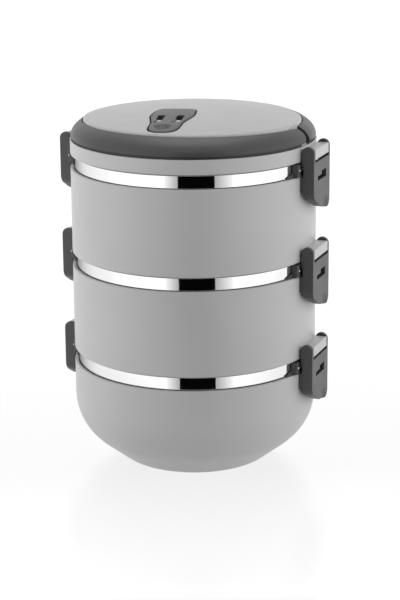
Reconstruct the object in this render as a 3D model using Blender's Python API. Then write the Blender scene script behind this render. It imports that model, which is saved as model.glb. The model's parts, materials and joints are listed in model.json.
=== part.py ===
"""Three-tier tiffin carrier: double-walled steel bowls held together by side latches.

Frame: origin at the centre of the foot, +Z up, latches on +X and -X, handle and vent scoop towards -Y.
Every tier, the lid, the latches, the handle and the vent flap are separate pieces.
"""
import math

import bmesh
import bpy
from mathutils import Matrix, Vector

MM = 0.001

# ---- driving dimensions (metres) ----
SEGMENTS = 36                      # facets round every turned piece
GAP = 0.35 * MM                    # running clearance between neighbouring pieces
SHELL_R = 70.0 * MM                # outside of the plastic shells
SHELL_WALL = 2.0 * MM
TIER_PITCH = 56.75 * MM            # height that each upper tier adds
TIER_1_TOP = 67.0 * MM
BAND_HEIGHT = 7.9 * MM             # polished steel neck that shows between the shells
BAND_R = 67.9 * MM
STEEL = 0.8 * MM                   # wall of the steel bowls
BOWL_R = 67.5 * MM                 # outside of a bowl's wall inside its shell
RIM_LIP_R = 65.4 * MM              # inner edge of the bowl's rolled rim
NEST_R = 64.8 * MM                 # outside of what nests into the neck below
NEST_WALL = 2.0 * MM
TIER_NEST = 9.5 * MM
LID_NEST = 5.0 * MM
FLANGE_LOW = 1.8 * MM              # a cover's flange above the joint plane
FLANGE_HIGH = 3.6 * MM

BASE_ARC_R = 33.3 * MM             # belly of the bottom shell
BASE_ARC_TURN = math.radians(52)
BASE_ARC_Z = 39.1 * MM
BASE_SLOPE = 17.0 * MM

LID_SKIRT = 9.0 * MM
DOME_TOP = 203.8 * MM
DOME_DROP = 0.923                  # fall of the dome per metre squared of radius
CAP_EDGE_Z = 199.0 * MM
FRONT_ARC = (63.8 * MM, 3.6 * MM)  # radius and centre y of the cap's front outline
REAR_ARC = (62.6 * MM, -3.5 * MM)  # the same for its rear outline
RING_CENTRE_R = 51.6 * MM          # quarter ellipse of the dark shoulder ring
RING_SPAN_R = 18.1 * MM
RING_FOOT_Z = 190.1 * MM
RING_RISE = 11.3 * MM

HINGE_X = 73.1 * MM                # latch hinge, measured from the joint plane
HINGE_Z = 5.4 * MM
EAR_R = 3.6 * MM
LUG_HALF_WIDTH = 12.2 * MM
LUG_BELOW = 4.5 * MM               # the knuckle reaches from here below its hinge ...
LUG_ABOVE = 2.7 * MM               # ... to here above it
LUG_CORNER_R = 5.0 * MM
LATCH_HALF_WIDTH = 14.8 * MM
LATCH_FOOT = 28.0 * MM
LATCH_CORNER_R = 8.5 * MM          # lower corners of the latch
LATCH_POCKET = 12.6 * MM           # half width between the latch's side walls
LATCH_PLATE_TOP = 0.1 * MM         # upper edge of the latch's plate, above the joint plane
LATCH_PLATE = 2.1 * MM
LATCH_WALL_X = 70.3 * MM           # the side walls start here, outside the catch pin
NOSE_HALF_WIDTH = 11.2 * MM        # hook that catches the pin, inside the latch
PIN_R = 0.95 * MM
CATCH_X = 69.1 * MM
CATCH_Z = -3.7 * MM
CATCH_PIN_R = 0.85 * MM
CHEEK_INNER = 15.9 * MM            # cheeks of the catch bracket, beside the latch
CHEEK_OUTER = 19.3 * MM

PIVOT_Y = -9.9 * MM                # handle pivot
PIVOT_Z = 194.4 * MM
HANDLE_END_R = 4.6 * MM
HANDLE_PIN_R = 1.2 * MM

VENT_TILT = math.radians(12)       # the vent lies a little off the front-to-back line
VENT_POINT = Vector((-3.9 * MM, -24.8 * MM, 0.0))
VENT_REAR = 25.4 * MM              # rear end of the flap behind VENT_POINT
VENT_HINGE_V = 1.9 * MM            # hinge, from the flap's rear end
VENT_HINGE_DROP = 1.4 * MM         # hinge below the dome
VENT_PLUG_V = 39.4 * MM
# windows of the flap: middle across the flap, half width, and both ends from the flap's rear end
VENT_WINDOWS = [(u * MM, half * MM, start * MM, end * MM) for u, half, start, end in (
    (-5.4, 2.0, 20.4, 30.0), (-5.0, 1.6, 29.5, 36.0), (5.4, 2.0, 20.4, 30.0), (5.8, 1.6, 29.5, 36.0))]
# half width of the flap at a distance from its rear end: a broad head, a waist and a round thumb end
VENT_OUTLINE = [(v * MM, half * MM) for v, half in (
    (0.0, 8.4), (1.5, 9.9), (5.0, 10.9), (10.0, 11.5), (17.0, 11.9), (22.0, 11.6), (27.5, 10.6), (33.0, 9.4),
    (38.5, 8.5), (44.5, 8.4), (50.0, 7.9), (54.0, 6.4), (56.2, 4.2), (57.0, 2.2))]

COLOURS = {
    "shell_plastic": ((0.50, 0.50, 0.51), 0.38, 0.0),
    "dark_plastic": ((0.14, 0.14, 0.145), 0.45, 0.0),
    "polished_steel": ((0.80, 0.80, 0.81), 0.08, 1.0),
    "steel_pin": ((0.70, 0.70, 0.71), 0.20, 1.0),
    "liner_plastic": ((0.78, 0.78, 0.77), 0.45, 0.0),
    "silicone": ((0.62, 0.62, 0.61), 0.60, 0.0),
}

JOINTS = {
    "low": TIER_1_TOP,
    "mid": TIER_1_TOP + TIER_PITCH,
    "top": TIER_1_TOP + 2 * TIER_PITCH,
}
SIDES = {"right": 0.0, "left": math.pi}
LID_Z = JOINTS["top"]
REBATE_Z = LID_Z + LID_SKIRT


# ---- scene helpers ----
def clear_scene():
    for old in list(bpy.data.objects):
        bpy.data.objects.remove(old, do_unlink=True)


def material(slot):
    found = bpy.data.materials.get(slot)
    if found:
        return found
    colour, roughness, metallic = COLOURS[slot]
    made = bpy.data.materials.new(slot)
    made.use_nodes = True
    shader = made.node_tree.nodes["Principled BSDF"]
    shader.inputs["Base Color"].default_value = (*colour, 1.0)
    shader.inputs["Roughness"].default_value = roughness
    shader.inputs["Metallic"].default_value = metallic
    return made


def add_object(name, bm, slot=None):
    bmesh.ops.recalc_face_normals(bm, faces=bm.faces[:])
    mesh = bpy.data.meshes.new(name)
    bm.to_mesh(mesh)
    bm.free()
    made = bpy.data.objects.new(name, mesh)
    bpy.context.scene.collection.objects.link(made)
    if slot:
        mesh.materials.append(material(slot))
    return made


def finish_shading(obj):
    obj.data.shade_smooth()
    obj.data.set_sharp_from_angle(angle=math.radians(35))


def apply_boolean(obj, tool, operation):
    """Combine a body with a tool body, and drop the tool."""
    modifier = obj.modifiers.new(operation, "BOOLEAN")
    modifier.operation = operation
    modifier.solver = "EXACT"
    modifier.object = tool
    bpy.context.view_layer.update()
    graph = bpy.context.evaluated_depsgraph_get()
    combined = bpy.data.meshes.new_from_object(obj.evaluated_get(graph))
    obj.modifiers.clear()
    obj.data = combined
    bpy.data.objects.remove(tool, do_unlink=True)


def cut(obj, tool):
    apply_boolean(obj, tool, "DIFFERENCE")


def join(obj, tool):
    apply_boolean(obj, tool, "UNION")


def keep_inside(obj, tool):
    apply_boolean(obj, tool, "INTERSECT")


# ---- mesh helpers ----
def turned(name, profile, slot=None, start=0.0, sweep=2 * math.pi, steps=SEGMENTS):
    """Turn a closed (r, z) outline round Z. A point may be a function of the angle that gives (r, z)."""
    whole = abs(sweep - 2 * math.pi) < 1e-9
    count = steps if whole else steps + 1
    bm = bmesh.new()
    rings = []
    for point in profile:
        ring = []
        for step in range(count):
            angle = start + sweep * step / steps
            r, z = point(angle) if callable(point) else point
            if r < 1e-9:
                ring = [bm.verts.new((0.0, 0.0, z))] * count
                break
            ring.append(bm.verts.new((r * math.cos(angle), r * math.sin(angle), z)))
        rings.append(ring)
    for first, second in zip(rings, rings[1:] + rings[:1]):
        for step in range(steps):
            after = (step + 1) % count
            corners = [first[step], first[after], second[after], second[step]]
            unique = list(dict.fromkeys(corners))
            if len(unique) > 2:
                bm.faces.new(unique)
    if not whole:
        bm.faces.new([ring[0] for ring in rings])
        bm.faces.new([ring[-1] for ring in reversed(rings)])
    return add_object(name, bm, slot)


def prism(name, outline, low, high, axis, slot=None):
    """Extrude an outline along an axis. Outlines are (y, z) for X, (x, z) for Y and (x, y) for Z."""
    def place(a, b, t):
        return {"X": (t, a, b), "Y": (a, t, b), "Z": (a, b, t)}[axis]
    bm = bmesh.new()
    bottom = [bm.verts.new(place(a, b, low)) for a, b in outline]
    top = [bm.verts.new(place(a, b, high)) for a, b in outline]
    bm.faces.new(bottom)
    bm.faces.new(top)
    count = len(outline)
    for i in range(count):
        j = (i + 1) % count
        bm.faces.new((bottom[i], bottom[j], top[j], top[i]))
    return add_object(name, bm, slot)


def box(low, high, name="tool"):
    return prism(name, [(low[0], low[1]), (high[0], low[1]), (high[0], high[1]), (low[0], high[1])],
                 low[2], high[2], "Z")


def arc(cx, cy, radius, start, end, steps):
    """Points on a circular arc, angles in degrees."""
    points = []
    for step in range(steps + 1):
        angle = math.radians(start + (end - start) * step / steps)
        points.append((cx + radius * math.cos(angle), cy + radius * math.sin(angle)))
    return points


def rod(name, centre, radius, low, high, axis, slot=None, steps=12):
    """Round bar along an axis; centre is its place in the other two axes."""
    outline = arc(centre[0], centre[1], radius, 0, 360 * (steps - 1) / steps, steps - 1)
    return prism(name, outline, low, high, axis, slot)


def turn_about_z(obj, angle):
    obj.data.transform(Matrix.Rotation(angle, 4, "Z"))
    return obj


def both_sides(make, obj, combine):
    """Make a tool for the right side and again, turned half round, for the left one."""
    for angle in SIDES.values():
        combine(obj, turn_about_z(make(), angle))


# ---- tiers ----
def base_outline(inset):
    """The bottom shell's outline, moved inwards by inset, from the wall's foot to the axis."""
    centre_r = SHELL_R - BASE_ARC_R
    turn = BASE_ARC_TURN
    points = arc(centre_r, BASE_ARC_Z, BASE_ARC_R - inset, 0, -math.degrees(turn), 5)
    slope_end_z = BASE_ARC_Z - BASE_ARC_R * math.sin(turn) - BASE_SLOPE * math.cos(turn)
    foot_r = slope_end_z / (1 - math.sin(turn))
    slope_end_r = centre_r + BASE_ARC_R * math.cos(turn) - BASE_SLOPE * math.sin(turn)
    foot_centre = (slope_end_r - foot_r * math.cos(turn), foot_r)
    points += arc(foot_centre[0], foot_centre[1], foot_r - inset, -math.degrees(turn), -90, 2)
    return points


def outer_shell_bottom():
    top = TIER_1_TOP - BAND_HEIGHT
    outside = [(SHELL_R, top)] + base_outline(0.0)
    inside = [(SHELL_R - SHELL_WALL, top)] + base_outline(SHELL_WALL)
    return turned("outer_shell_1", outside + [(0.0, 0.0), (0.0, SHELL_WALL)] + inside[::-1], "shell_plastic")


def outer_shell_upper(tier, joint_z):
    top = joint_z + TIER_PITCH - BAND_HEIGHT
    inner = SHELL_R - SHELL_WALL
    profile = [(SHELL_R, top), (SHELL_R, joint_z), (inner, joint_z), (inner, top)]
    shell = turned(f"outer_shell_{tier}", profile, "shell_plastic")
    add_lugs(shell, joint_z)
    return shell


def lug_outline(joint_z):
    """Knuckle whose lower corner is rounded about the hinge, so that the latch plate clears it."""
    x, z = HINGE_X, joint_z + HINGE_Z
    under = math.degrees(math.asin(LUG_BELOW / LUG_CORNER_R))
    front = math.degrees(math.acos(EAR_R / LUG_CORNER_R))
    lower = arc(x, z, LUG_CORNER_R, -under, -front, 3)
    bevel = 0.8 * MM
    upper = [(x + EAR_R, z + LUG_ABOVE - bevel), (x + EAR_R - bevel, z + LUG_ABOVE)]
    root_x = SHELL_R - 0.7 * SHELL_WALL
    return [(root_x, z - LUG_BELOW)] + lower + upper + [(root_x, z + LUG_ABOVE)]


def add_lugs(shell, joint_z):
    """Knuckles on both sides that the latches hang from, with a bore for the hinge pin."""
    outline = lug_outline(joint_z)
    hinge = (HINGE_X, joint_z + HINGE_Z)
    both_sides(lambda: prism("tool", outline, -LUG_HALF_WIDTH, LUG_HALF_WIDTH, "Y"), shell, join)
    reach = LUG_HALF_WIDTH + 1.0 * MM
    both_sides(lambda: rod("tool", hinge, PIN_R + GAP, -reach, reach, "Y"), shell, cut)


def neck_outline(top):
    """Polished neck and rolled rim, from the rim's inner edge down the outside to the bowl's wall."""
    band_foot = top - BAND_HEIGHT
    rim_z = top - GAP
    return [
        (RIM_LIP_R, rim_z - STEEL), (RIM_LIP_R, rim_z), (BAND_R, rim_z),
        (BAND_R, band_foot + 0.3 * MM), (BOWL_R, band_foot - 0.3 * MM),
    ], [
        (BOWL_R - STEEL, band_foot - 0.3 * MM - STEEL), (BAND_R - STEEL, band_foot + 0.3 * MM),
        (BAND_R - STEEL, rim_z - STEEL),
    ]


def steel_bowl_bottom():
    inset = SHELL_R - BOWL_R
    outside, inside = neck_outline(TIER_1_TOP)
    profile = outside + base_outline(inset) + [(0.0, inset), (0.0, inset + STEEL)]
    profile += base_outline(inset + STEEL)[::-1] + inside
    return turned("steel_bowl_1", profile, "polished_steel")


def steel_bowl_upper(tier, joint_z):
    """Bowl whose foot is narrower, so that its cover nests into the neck of the tier below."""
    foot_r = NEST_R - NEST_WALL - GAP
    foot_z = joint_z - TIER_NEST + NEST_WALL + GAP
    corner = 9.0 * MM
    shoulder_z = joint_z + 13.0 * MM
    waist_z = joint_z + FLANGE_HIGH

    def wall(inset):
        points = [(BOWL_R - inset, shoulder_z), (foot_r - inset, waist_z)]
        points += arc(foot_r - corner, foot_z + corner, corner - inset, 0, -90, 4)
        return points + [(0.0, foot_z + inset)]

    outside, inside = neck_outline(joint_z + TIER_PITCH)
    profile = outside + wall(0.0) + wall(STEEL)[::-1] + inside
    return turned(f"steel_bowl_{tier}", profile, "polished_steel")


def nesting_pan(name, joint_z, depth):
    """Pan that closes a piece from below: a flange inside the shell, and a floor in the neck below."""
    flange_r = SHELL_R - SHELL_WALL - GAP
    inner = NEST_R - NEST_WALL
    floor = joint_z - depth
    profile = [
        (flange_r, joint_z + FLANGE_HIGH), (flange_r, joint_z + FLANGE_LOW),
        (NEST_R, joint_z + FLANGE_LOW), (NEST_R, floor + 1.5 * MM), (NEST_R - 1.5 * MM, floor),
        (0.0, floor), (0.0, floor + NEST_WALL), (inner, floor + NEST_WALL), (inner, joint_z + FLANGE_HIGH),
    ]
    return turned(name, profile, "liner_plastic")


def seal_ring(name, joint_z):
    """Silicone ring between a cover's flange and the steel rim below it."""
    outer = SHELL_R - SHELL_WALL - GAP
    inner = NEST_R + GAP
    top = joint_z + FLANGE_LOW - GAP
    return turned(name, [(outer, top), (outer, joint_z), (inner, joint_z), (inner, top)], "silicone")


# ---- latches ----
def latch_mesh():
    """One latch in its hinge's frame, for the right-hand side."""
    top = -HINGE_Z                          # joint plane seen from the hinge
    inner_x = -EAR_R
    outer_x = EAR_R
    foot = top - LATCH_FOOT
    wall_x = LATCH_WALL_X - HINGE_X
    bevel_z = top - 19.0 * MM
    step_z = top - 2.2 * MM
    side = [(wall_x, bevel_z), (wall_x, step_z), (inner_x, step_z)] + arc(0.0, 0.0, EAR_R, 180, 0, 8)
    side += [(outer_x, foot + 1.5 * MM), (outer_x - 0.8 * MM, foot), (inner_x + 4.7 * MM, foot)]
    body = prism("latch", side, -LATCH_HALF_WIDTH, LATCH_HALF_WIDTH, "Y")

    corner = LATCH_CORNER_R
    ear_corner = 1.5 * MM
    y = LATCH_HALF_WIDTH
    face = arc(y - corner, foot + corner, corner, -90, 0, 4)
    face += arc(y - ear_corner, EAR_R - ear_corner, ear_corner, 0, 90, 2)
    face += [(-a, b) for a, b in reversed(face)]
    keep_inside(body, prism("tool", face, -20 * MM, 20 * MM, "X"))

    pocket = LATCH_POCKET
    plate_x = outer_x - LATCH_PLATE
    cut(body, box((-20 * MM, -pocket, top - 20 * MM), (plate_x, pocket, 20 * MM)))
    cut(body, box((plate_x - 1 * MM, -pocket, top + LATCH_PLATE_TOP), (20 * MM, pocket, 20 * MM)))
    nose_top = top + CATCH_Z - CATCH_PIN_R - 0.3 * MM
    nose_tip = CATCH_X - HINGE_X - 0.5 * MM
    nose_y = NOSE_HALF_WIDTH
    nose_z = 1.55 * MM
    join(body, box((nose_tip, -nose_y, nose_top - nose_z), (plate_x + 0.5 * MM, nose_y, nose_top)))
    window_y = 8.7 * MM
    cut(body, box((plate_x - 1 * MM, -window_y, top - 10.7 * MM), (20 * MM, window_y, top - 6.5 * MM)))

    bore = LATCH_HALF_WIDTH - 0.8 * MM
    cut(body, rod("tool", (0.0, 0.0), PIN_R + GAP, -bore, bore, "Y"))
    mesh = body.data
    bpy.data.objects.remove(body, do_unlink=True)
    return mesh


def bracket_mesh():
    """Catch bracket that wraps the steel band, for a joint plane at z = 0 on the right-hand side."""
    inner = BAND_R + GAP
    outer = inner + 0.7 * MM
    cheek_inner = CHEEK_INNER
    cheek_outer = CHEEK_OUTER
    cheek_x = CATCH_X + 0.35 * MM
    end = math.degrees(math.asin(cheek_outer / inner))
    turn_in = math.degrees(math.asin(cheek_inner / outer))
    outline = arc(0.0, 0.0, inner, -end, end, 8)
    outline += [(cheek_x - 1.2 * MM, cheek_outer), (cheek_x, cheek_outer - 1.2 * MM), (cheek_x, cheek_inner)]
    outline += arc(0.0, 0.0, outer, turn_in, -turn_in, 6)
    outline += [(cheek_x, -cheek_inner), (cheek_x, 1.2 * MM - cheek_outer), (cheek_x - 1.2 * MM, -cheek_outer)]
    body = prism("bracket", outline, GAP - BAND_HEIGHT, -0.6 * MM, "Z")
    window = NOSE_HALF_WIDTH + 0.6 * MM
    cut(body, box((60 * MM, -window, -20 * MM), (80 * MM, window, -2.0 * MM)))
    reach = cheek_outer - 0.8 * MM
    cut(body, rod("tool", (CATCH_X, CATCH_Z), CATCH_PIN_R + 0.3 * MM, -reach, reach, "Y"))
    mesh = body.data
    bpy.data.objects.remove(body, do_unlink=True)
    return mesh


def place_copy(name, mesh, slot, place, angle):
    made = bpy.data.objects.new(name, mesh)
    bpy.context.scene.collection.objects.link(made)
    made.location = Matrix.Rotation(angle, 3, "Z") @ Vector(place)
    made.rotation_euler = (0.0, 0.0, angle)
    if not mesh.materials:
        mesh.materials.append(material(slot))
    return made


def add_latches():
    latch = latch_mesh()
    bracket = bracket_mesh()
    pin_half = LATCH_HALF_WIDTH - 1.1 * MM
    catch_half = CHEEK_OUTER - 1.1 * MM
    hinge_pin = rod("pin", (0.0, 0.0), PIN_R, -pin_half, pin_half, "Y")
    catch_pin = rod("pin", (0.0, 0.0), CATCH_PIN_R, -catch_half, catch_half, "Y")
    for level, joint_z in JOINTS.items():
        for side, angle in SIDES.items():
            tag = f"{level}_{side}"
            hinge = (HINGE_X, 0.0, joint_z + HINGE_Z)
            place_copy(f"latch_{tag}", latch, "dark_plastic", hinge, angle)
            place_copy(f"hinge_pin_{tag}", hinge_pin.data, "steel_pin", hinge, angle)
            place_copy(f"catch_bracket_{tag}", bracket, "dark_plastic", (0.0, 0.0, joint_z), angle)
            catch = (CATCH_X, 0.0, joint_z + CATCH_Z)
            place_copy(f"catch_pin_{tag}", catch_pin.data, "steel_pin", catch, angle)
    bpy.data.objects.remove(hinge_pin, do_unlink=True)
    bpy.data.objects.remove(catch_pin, do_unlink=True)


# ---- lid ----
def circle_reach(circle, angle):
    """Distance from the axis to a circle that is centred on the Y axis, in a direction."""
    radius, centre_y = circle
    across = centre_y * math.cos(angle)
    return centre_y * math.sin(angle) + math.sqrt(radius * radius - across * across)


def cap_reach(angle):
    return min(circle_reach(FRONT_ARC, angle), circle_reach(REAR_ARC, angle))


def dome(r):
    return DOME_TOP - DOME_DROP * r * r


def cap_ring(share, inset, drop):
    """Ring on the dome at a share of the cap's outline, moved in by inset and down by drop."""
    def point(angle):
        r = share * (cap_reach(angle) - inset)
        return r, dome(r) - drop
    return point


def cap_level(inset, z):
    return lambda angle: (cap_reach(angle) - inset, z)


def lid_shell():
    skirt_inner = SHELL_R - SHELL_WALL
    floor_inner = 57.5 * MM
    profile = [
        (SHELL_R, REBATE_Z), (SHELL_R, LID_Z), (skirt_inner, LID_Z), (skirt_inner, REBATE_Z - SHELL_WALL),
        (floor_inner, REBATE_Z - SHELL_WALL), (floor_inner, REBATE_Z),
    ]
    shell = turned("lid_shell", profile, "shell_plastic")
    cap = [
        (0.0, dome(0.0)), cap_ring(0.5, 0.0, 0.0), cap_ring(0.93, 0.0, 0.0), cap_level(0.9 * MM, CAP_EDGE_Z + 0.9 * MM),
        cap_level(0.0, CAP_EDGE_Z), cap_level(0.0, REBATE_Z - 0.9 * MM),
        cap_level(SHELL_WALL, REBATE_Z - 0.9 * MM), cap_level(SHELL_WALL, CAP_EDGE_Z - 1.2 * MM),
        cap_ring(0.93, SHELL_WALL, SHELL_WALL), cap_ring(0.5, SHELL_WALL, SHELL_WALL), (0.0, dome(0.0) - SHELL_WALL),
    ]
    join(shell, turned("tool", cap))
    add_lugs(shell, LID_Z)

    # flats beside the handle's arms, and the bores of its pivot pins
    for side in (1, -1):
        near, far = sorted((side * 61.4 * MM, side * 68.0 * MM))
        cut(shell, box((near, -17.0 * MM, REBATE_Z + 0.1 * MM), (far, -4.4 * MM, DOME_TOP)))
    for side in (1, -1):
        near, far = sorted((side * 57.0 * MM, side * 65.8 * MM))
        cut(shell, rod("tool", (PIVOT_Y, PIVOT_Z), HANDLE_PIN_R + GAP, near, far, "X"))

    # recess of the vent: a thick floor is added under the dome, then the recess is cut
    join(shell, vent_slab("tool", 2.4 * MM, -5.1 * MM, -1.0 * MM))
    cut(shell, vent_slab("tool", 0.9 * MM, -3.5 * MM, 3.0 * MM))
    hinge = vent_place(0.0, VENT_HINGE_V)
    hinge_z = dome(0.0) - VENT_HINGE_DROP
    cut(shell, vent_rod(PIN_R, 11.3 * MM, hinge, hinge_z))
    plug = vent_place(0.0, VENT_PLUG_V)
    cut(shell, rod("tool", (plug.x, plug.y), 3.6 * MM, LID_Z + 10 * MM, DOME_TOP, "Z", steps=16))
    return shell


def ring_outline(reach, low):
    """Section of the shoulder ring: from its foot over the quarter ellipse to an inner reach."""
    def ellipse(share):
        def point(angle):
            end = math.acos((reach(angle) - RING_CENTRE_R) / RING_SPAN_R)
            turn = share * end
            return RING_CENTRE_R + RING_SPAN_R * math.cos(turn), RING_FOOT_Z + RING_RISE * math.sin(turn)
        return point
    steps = 5
    outline = [(RING_CENTRE_R + RING_SPAN_R, low)]
    outline += [ellipse(step / steps) for step in range(steps + 1)]
    return outline + [lambda angle: (reach(angle), low)]


def handle():
    """Front half of the shoulder ring: a bail that folds up about two pins."""
    inner = (FRONT_ARC[0] + 0.6 * MM, FRONT_ARC[1])
    outline = ring_outline(lambda angle: circle_reach(inner, angle), REBATE_Z + 0.3 * MM)
    bail = turned("handle", outline, "dark_plastic", -math.pi, math.pi, 24)
    front = -80 * MM
    side = arc(PIVOT_Y, PIVOT_Z, HANDLE_END_R, -90, 90, 8)
    side += [(PIVOT_Y, 210 * MM), (front, 210 * MM), (front, 180 * MM), (PIVOT_Y, 180 * MM)]
    keep_inside(bail, prism("tool", side, -80 * MM, 80 * MM, "X"))
    cut(bail, box((-62.3 * MM, -15.5 * MM, 180 * MM), (62.3 * MM, 5 * MM, 210 * MM)))
    for side_sign in (1, -1):
        near, far = sorted((side_sign * 58.0 * MM, side_sign * 65.8 * MM))
        cut(bail, rod("tool", (PIVOT_Y, PIVOT_Z), HANDLE_PIN_R + GAP, near, far, "X"))
    pivot = Vector((0.0, PIVOT_Y, PIVOT_Z))
    bail.data.transform(Matrix.Translation(-pivot))
    bail.location = pivot
    return bail


def handle_pins():
    for name, side_sign in (("right", 1), ("left", -1)):
        near, far = sorted((side_sign * 58.4 * MM, side_sign * 65.4 * MM))
        rod(f"handle_pin_{name}", (PIVOT_Y, PIVOT_Z), HANDLE_PIN_R, near, far, "X", "steel_pin")


def rear_rim():
    """Rear half of the shoulder ring, fixed in the lid's rebate."""
    inner = (REAR_ARC[0] + 0.4 * MM, REAR_ARC[1])
    outline = ring_outline(lambda angle: circle_reach(inner, angle), REBATE_Z + 0.3 * MM)
    lead = math.radians(6)
    rim = turned("rear_rim", outline, "dark_plastic", -lead, math.pi + 2 * lead, 26)
    side = [(-1.6 * MM, 180 * MM), (-1.6 * MM, 191.0 * MM), (-3.1 * MM, 199.0 * MM), (-3.1 * MM, 210 * MM),
            (80 * MM, 210 * MM), (80 * MM, 180 * MM)]
    keep_inside(rim, prism("tool", side, -80 * MM, 80 * MM, "X"))
    return rim


# ---- steam vent ----
def vent_place(u, v):
    """Point on the lid from the flap's own measures: u across it, v from its rear end to its front."""
    along = Vector((math.sin(VENT_TILT), -math.cos(VENT_TILT), 0.0))
    across = Vector((math.cos(VENT_TILT), math.sin(VENT_TILT), 0.0))
    return VENT_POINT + along * (v - VENT_REAR) + across * u


def vent_slab(name, grow, low, high, slot=None):
    """Plate with the flap's outline, grown all round, between two heights over the dome."""
    length = VENT_OUTLINE[-1][0]
    bm = bmesh.new()
    sections = []
    for v, half_width in VENT_OUTLINE:
        shift = grow * (2 * v / length - 1)
        half = half_width + grow
        corners = []
        for u, height in ((-half, low), (half, low), (half, high), (-half, high)):
            point = vent_place(u, v + shift)
            corners.append(bm.verts.new((point.x, point.y, dome(point.xy.length) + height)))
        sections.append(corners)
    bm.faces.new(sections[0])
    bm.faces.new(sections[-1])
    for first, second in zip(sections, sections[1:]):
        for i in range(4):
            j = (i + 1) % 4
            bm.faces.new((first[i], first[j], second[j], second[i]))
    return add_object(name, bm, slot)


def vent_rod(radius, half, place, z, name="tool", slot=None):
    """Round bar across the flap, along its hinge."""
    bar = rod(name, (0.0, 0.0), radius, -half, half, "X", slot)
    bar.data.transform(Matrix.Translation((place.x, place.y, z)) @ Matrix.Rotation(VENT_TILT, 4, "Z"))
    return bar


def set_origin(obj, point):
    obj.data.transform(Matrix.Translation(-point))
    obj.location = point


def vent_parts():
    hinge = vent_place(0.0, VENT_HINGE_V)
    hinge_z = dome(0.0) - VENT_HINGE_DROP
    flap = vent_slab("vent_flap", 0.0, -2.4 * MM, 0.5 * MM, "dark_plastic")
    join(flap, vent_rod(1.7 * MM, 8.0 * MM, hinge, hinge_z))
    cut(flap, vent_rod(0.95 * MM, 20 * MM, hinge, hinge_z))
    for u, half, start, end in VENT_WINDOWS:
        window = box((-half, start - end, 150 * MM), (half, 0.0, 250 * MM))
        place = vent_place(u, start)
        turn = Matrix.Translation((place.x, place.y, 0.0)) @ Matrix.Rotation(VENT_TILT, 4, "Z")
        window.data.transform(turn)
        cut(flap, window)
    origin = Vector((hinge.x, hinge.y, hinge_z))
    set_origin(flap, origin)
    pin = vent_rod(0.65 * MM, 11.0 * MM, hinge, hinge_z, "vent_hinge_pin", "steel_pin")
    set_origin(pin, origin)
    place = vent_place(0.0, VENT_PLUG_V)
    top = dome(place.xy.length) - 2.4 * MM - 0.3 * MM
    rod("vent_plug", (place.x, place.y), 3.0 * MM, top - 2.6 * MM, top, "Z", "silicone", steps=16)


def lid_liner():
    liner = nesting_pan("lid_liner", LID_Z, LID_NEST)
    place = vent_place(0.0, VENT_PLUG_V)
    cut(liner, rod("tool", (place.x, place.y), 3.6 * MM, LID_Z - 20 * MM, LID_Z, "Z", steps=16))
    return liner


def main():
    clear_scene()
    outer_shell_bottom()
    steel_bowl_bottom()
    for tier, level in ((2, "low"), (3, "mid")):
        outer_shell_upper(tier, JOINTS[level])
        steel_bowl_upper(tier, JOINTS[level])
        nesting_pan(f"base_cover_{tier}", JOINTS[level], TIER_NEST)
        seal_ring(f"seal_ring_{tier}", JOINTS[level])
    seal_ring("seal_ring_lid", LID_Z)
    add_latches()
    lid_shell()
    lid_liner()
    handle()
    handle_pins()
    rear_rim()
    vent_parts()
    for obj in bpy.data.objects:
        finish_shading(obj)


main()
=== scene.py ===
import json
import math

import bmesh
import bpy
from mathutils import Matrix, Vector

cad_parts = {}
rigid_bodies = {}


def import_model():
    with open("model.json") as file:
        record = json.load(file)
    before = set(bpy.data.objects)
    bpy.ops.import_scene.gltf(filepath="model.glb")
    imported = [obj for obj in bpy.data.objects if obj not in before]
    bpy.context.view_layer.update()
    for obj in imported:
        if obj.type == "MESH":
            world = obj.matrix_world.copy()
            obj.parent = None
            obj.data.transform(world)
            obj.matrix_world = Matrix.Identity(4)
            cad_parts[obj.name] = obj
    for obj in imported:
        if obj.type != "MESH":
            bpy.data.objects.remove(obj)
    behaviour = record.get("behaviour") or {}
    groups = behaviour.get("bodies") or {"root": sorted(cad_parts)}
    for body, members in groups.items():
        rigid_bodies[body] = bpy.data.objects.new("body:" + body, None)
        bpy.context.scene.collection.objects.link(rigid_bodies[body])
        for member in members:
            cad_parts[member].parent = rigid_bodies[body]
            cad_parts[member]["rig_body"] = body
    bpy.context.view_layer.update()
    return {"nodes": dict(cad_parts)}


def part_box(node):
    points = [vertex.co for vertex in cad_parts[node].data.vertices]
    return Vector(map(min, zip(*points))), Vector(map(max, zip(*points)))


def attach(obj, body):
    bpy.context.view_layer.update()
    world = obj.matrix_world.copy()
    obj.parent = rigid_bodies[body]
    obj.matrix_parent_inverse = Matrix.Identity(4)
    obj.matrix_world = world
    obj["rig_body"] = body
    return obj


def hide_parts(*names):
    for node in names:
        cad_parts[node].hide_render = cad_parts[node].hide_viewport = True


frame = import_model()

MM = 0.001
TAU = 2 * math.pi
ROUND = 180                                # facets round a turned piece
SIDES = {"right": 0.0, "left": math.pi}

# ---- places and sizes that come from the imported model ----
SHELL_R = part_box("outer_shell_1")[1].y
JOINTS = {
    "low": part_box("outer_shell_2")[0].z,
    "mid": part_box("outer_shell_3")[0].z,
    "top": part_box("lid_shell")[0].z,
}
TIER_PITCH = JOINTS["mid"] - JOINTS["low"]
BAND_HEIGHT = JOINTS["low"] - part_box("outer_shell_1")[1].z
HINGE_X = sum(corner.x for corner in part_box("hinge_pin_top_right")) / 2
HINGE_Z = sum(corner.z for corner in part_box("hinge_pin_top_right")) / 2 - JOINTS["top"]
CATCH_X = sum(corner.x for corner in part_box("catch_pin_top_right")) / 2
CATCH_Z = sum(corner.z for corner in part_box("catch_pin_top_right")) / 2 - JOINTS["top"]
LATCH_HALF_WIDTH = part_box("latch_top_right")[1].y
OUTER_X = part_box("latch_top_right")[1].x
LATCH_FOOT = JOINTS["top"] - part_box("latch_top_right")[0].z
DOME_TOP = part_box("lid_shell")[1].z
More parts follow.
